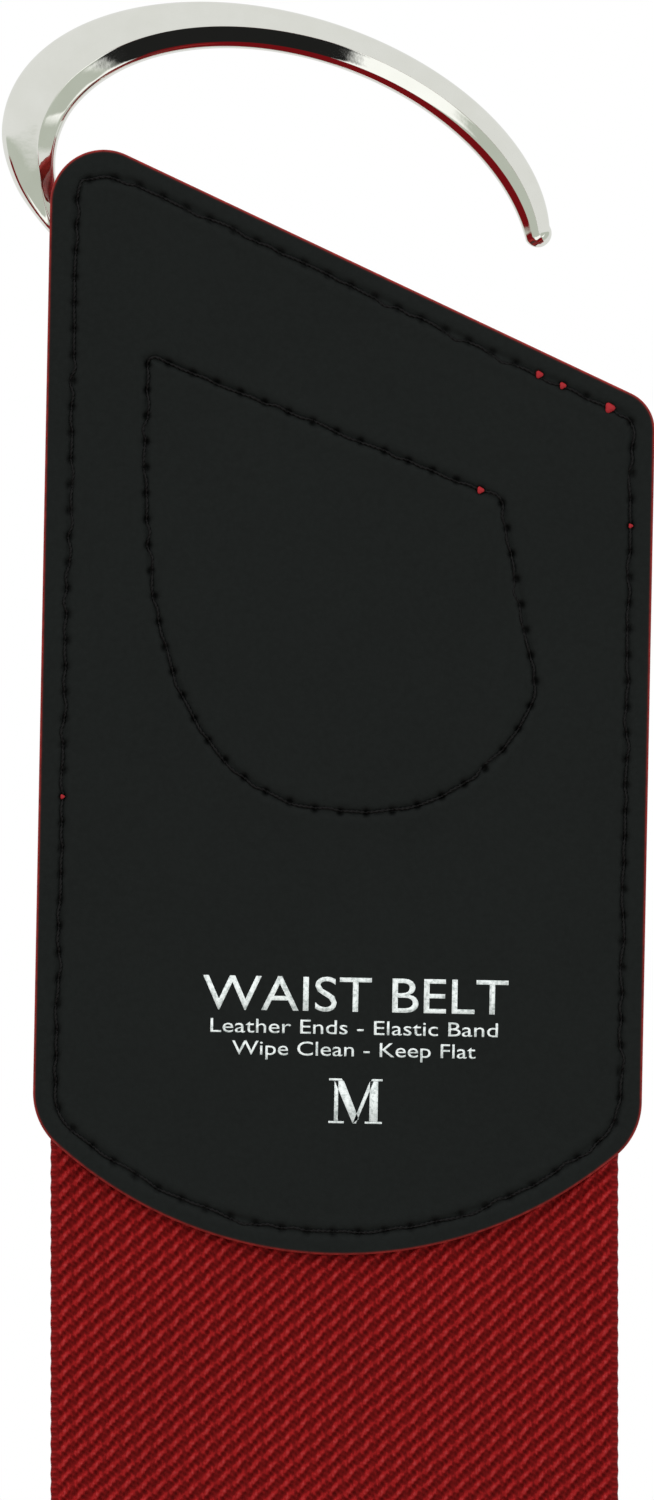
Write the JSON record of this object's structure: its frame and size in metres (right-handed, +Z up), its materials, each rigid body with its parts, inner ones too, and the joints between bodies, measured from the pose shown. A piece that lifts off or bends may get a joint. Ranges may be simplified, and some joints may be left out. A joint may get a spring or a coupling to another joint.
{
  "type": "waist belt",
  "caption": "Wide elastic waist belt with slanted, round-bottomed leather ends and an open oval interlocking hook held in a folded leather tongue at each end.",
  "frame": {"origin": "centre of the bounding box, on the band's centre line half way between the two ends", "axes": "+Z runs up along the relaxed belt, X across the band, and -Y is out of the lining faces, so +Y is out of the leather fronts and the tongues"},
  "size_m": [0.082, 0.011, 0.639],
  "materials": {
    "chrome": "polished plate",
    "front_leather": "semi-gloss dyed leather",
    "lining_leather": "matt smooth lining leather",
    "core_board": "bonded leather board",
    "elastic": "twill-woven elastic",
    "front_thread": "bonded thread",
    "lining_thread": "bonded thread"
  },
  "bodies": {
    "upper_end": {"elastic_band": "elastic", "upper_tongue": "front_leather", "upper_front_leather": "front_leather", "upper_core_board": "core_board", "upper_lining_leather": "lining_leather", "upper_edge_thread_front": "front_thread", "upper_edge_thread_back": "lining_thread", "upper_tongue_thread_front": "front_thread", "upper_tongue_thread_back": "lining_thread"},
    "upper_hook": {"upper_hook": "chrome"},
    "lower_end": {"lower_tongue": "front_leather", "lower_front_leather": "front_leather", "lower_core_board": "core_board", "lower_lining_leather": "lining_leather", "lower_edge_thread_front": "front_thread", "lower_edge_thread_back": "lining_thread", "lower_tongue_thread_front": "front_thread", "lower_tongue_thread_back": "lining_thread"},
    "lower_hook": {"lower_hook": "chrome"}
  },
  "joints": [
    {"name": "upper_hook_pivot", "type": "hinge", "parent": "upper_end", "child": "upper_hook", "pos_m": [-0.00299, 0.0023, 0.27598], "axis": [-0.9041, 0, 0.4274], "range_deg": [-3, 75]},
    {"name": "band_stretch", "type": "slide", "parent": "upper_end", "child": "lower_end", "axis": [0, 0, -1], "range_m": [0, 0.13], "stiffness_N_per_m": 150, "springref_m": -0.004, "deforming": ["elastic_band"]},
    {"name": "lower_hook_pivot", "type": "hinge", "parent": "lower_end", "child": "lower_hook", "pos_m": [0.00299, 0.0023, -0.27598], "axis": [0.9041, 0, -0.4274], "range_deg": [-3, 75]}
  ]
}
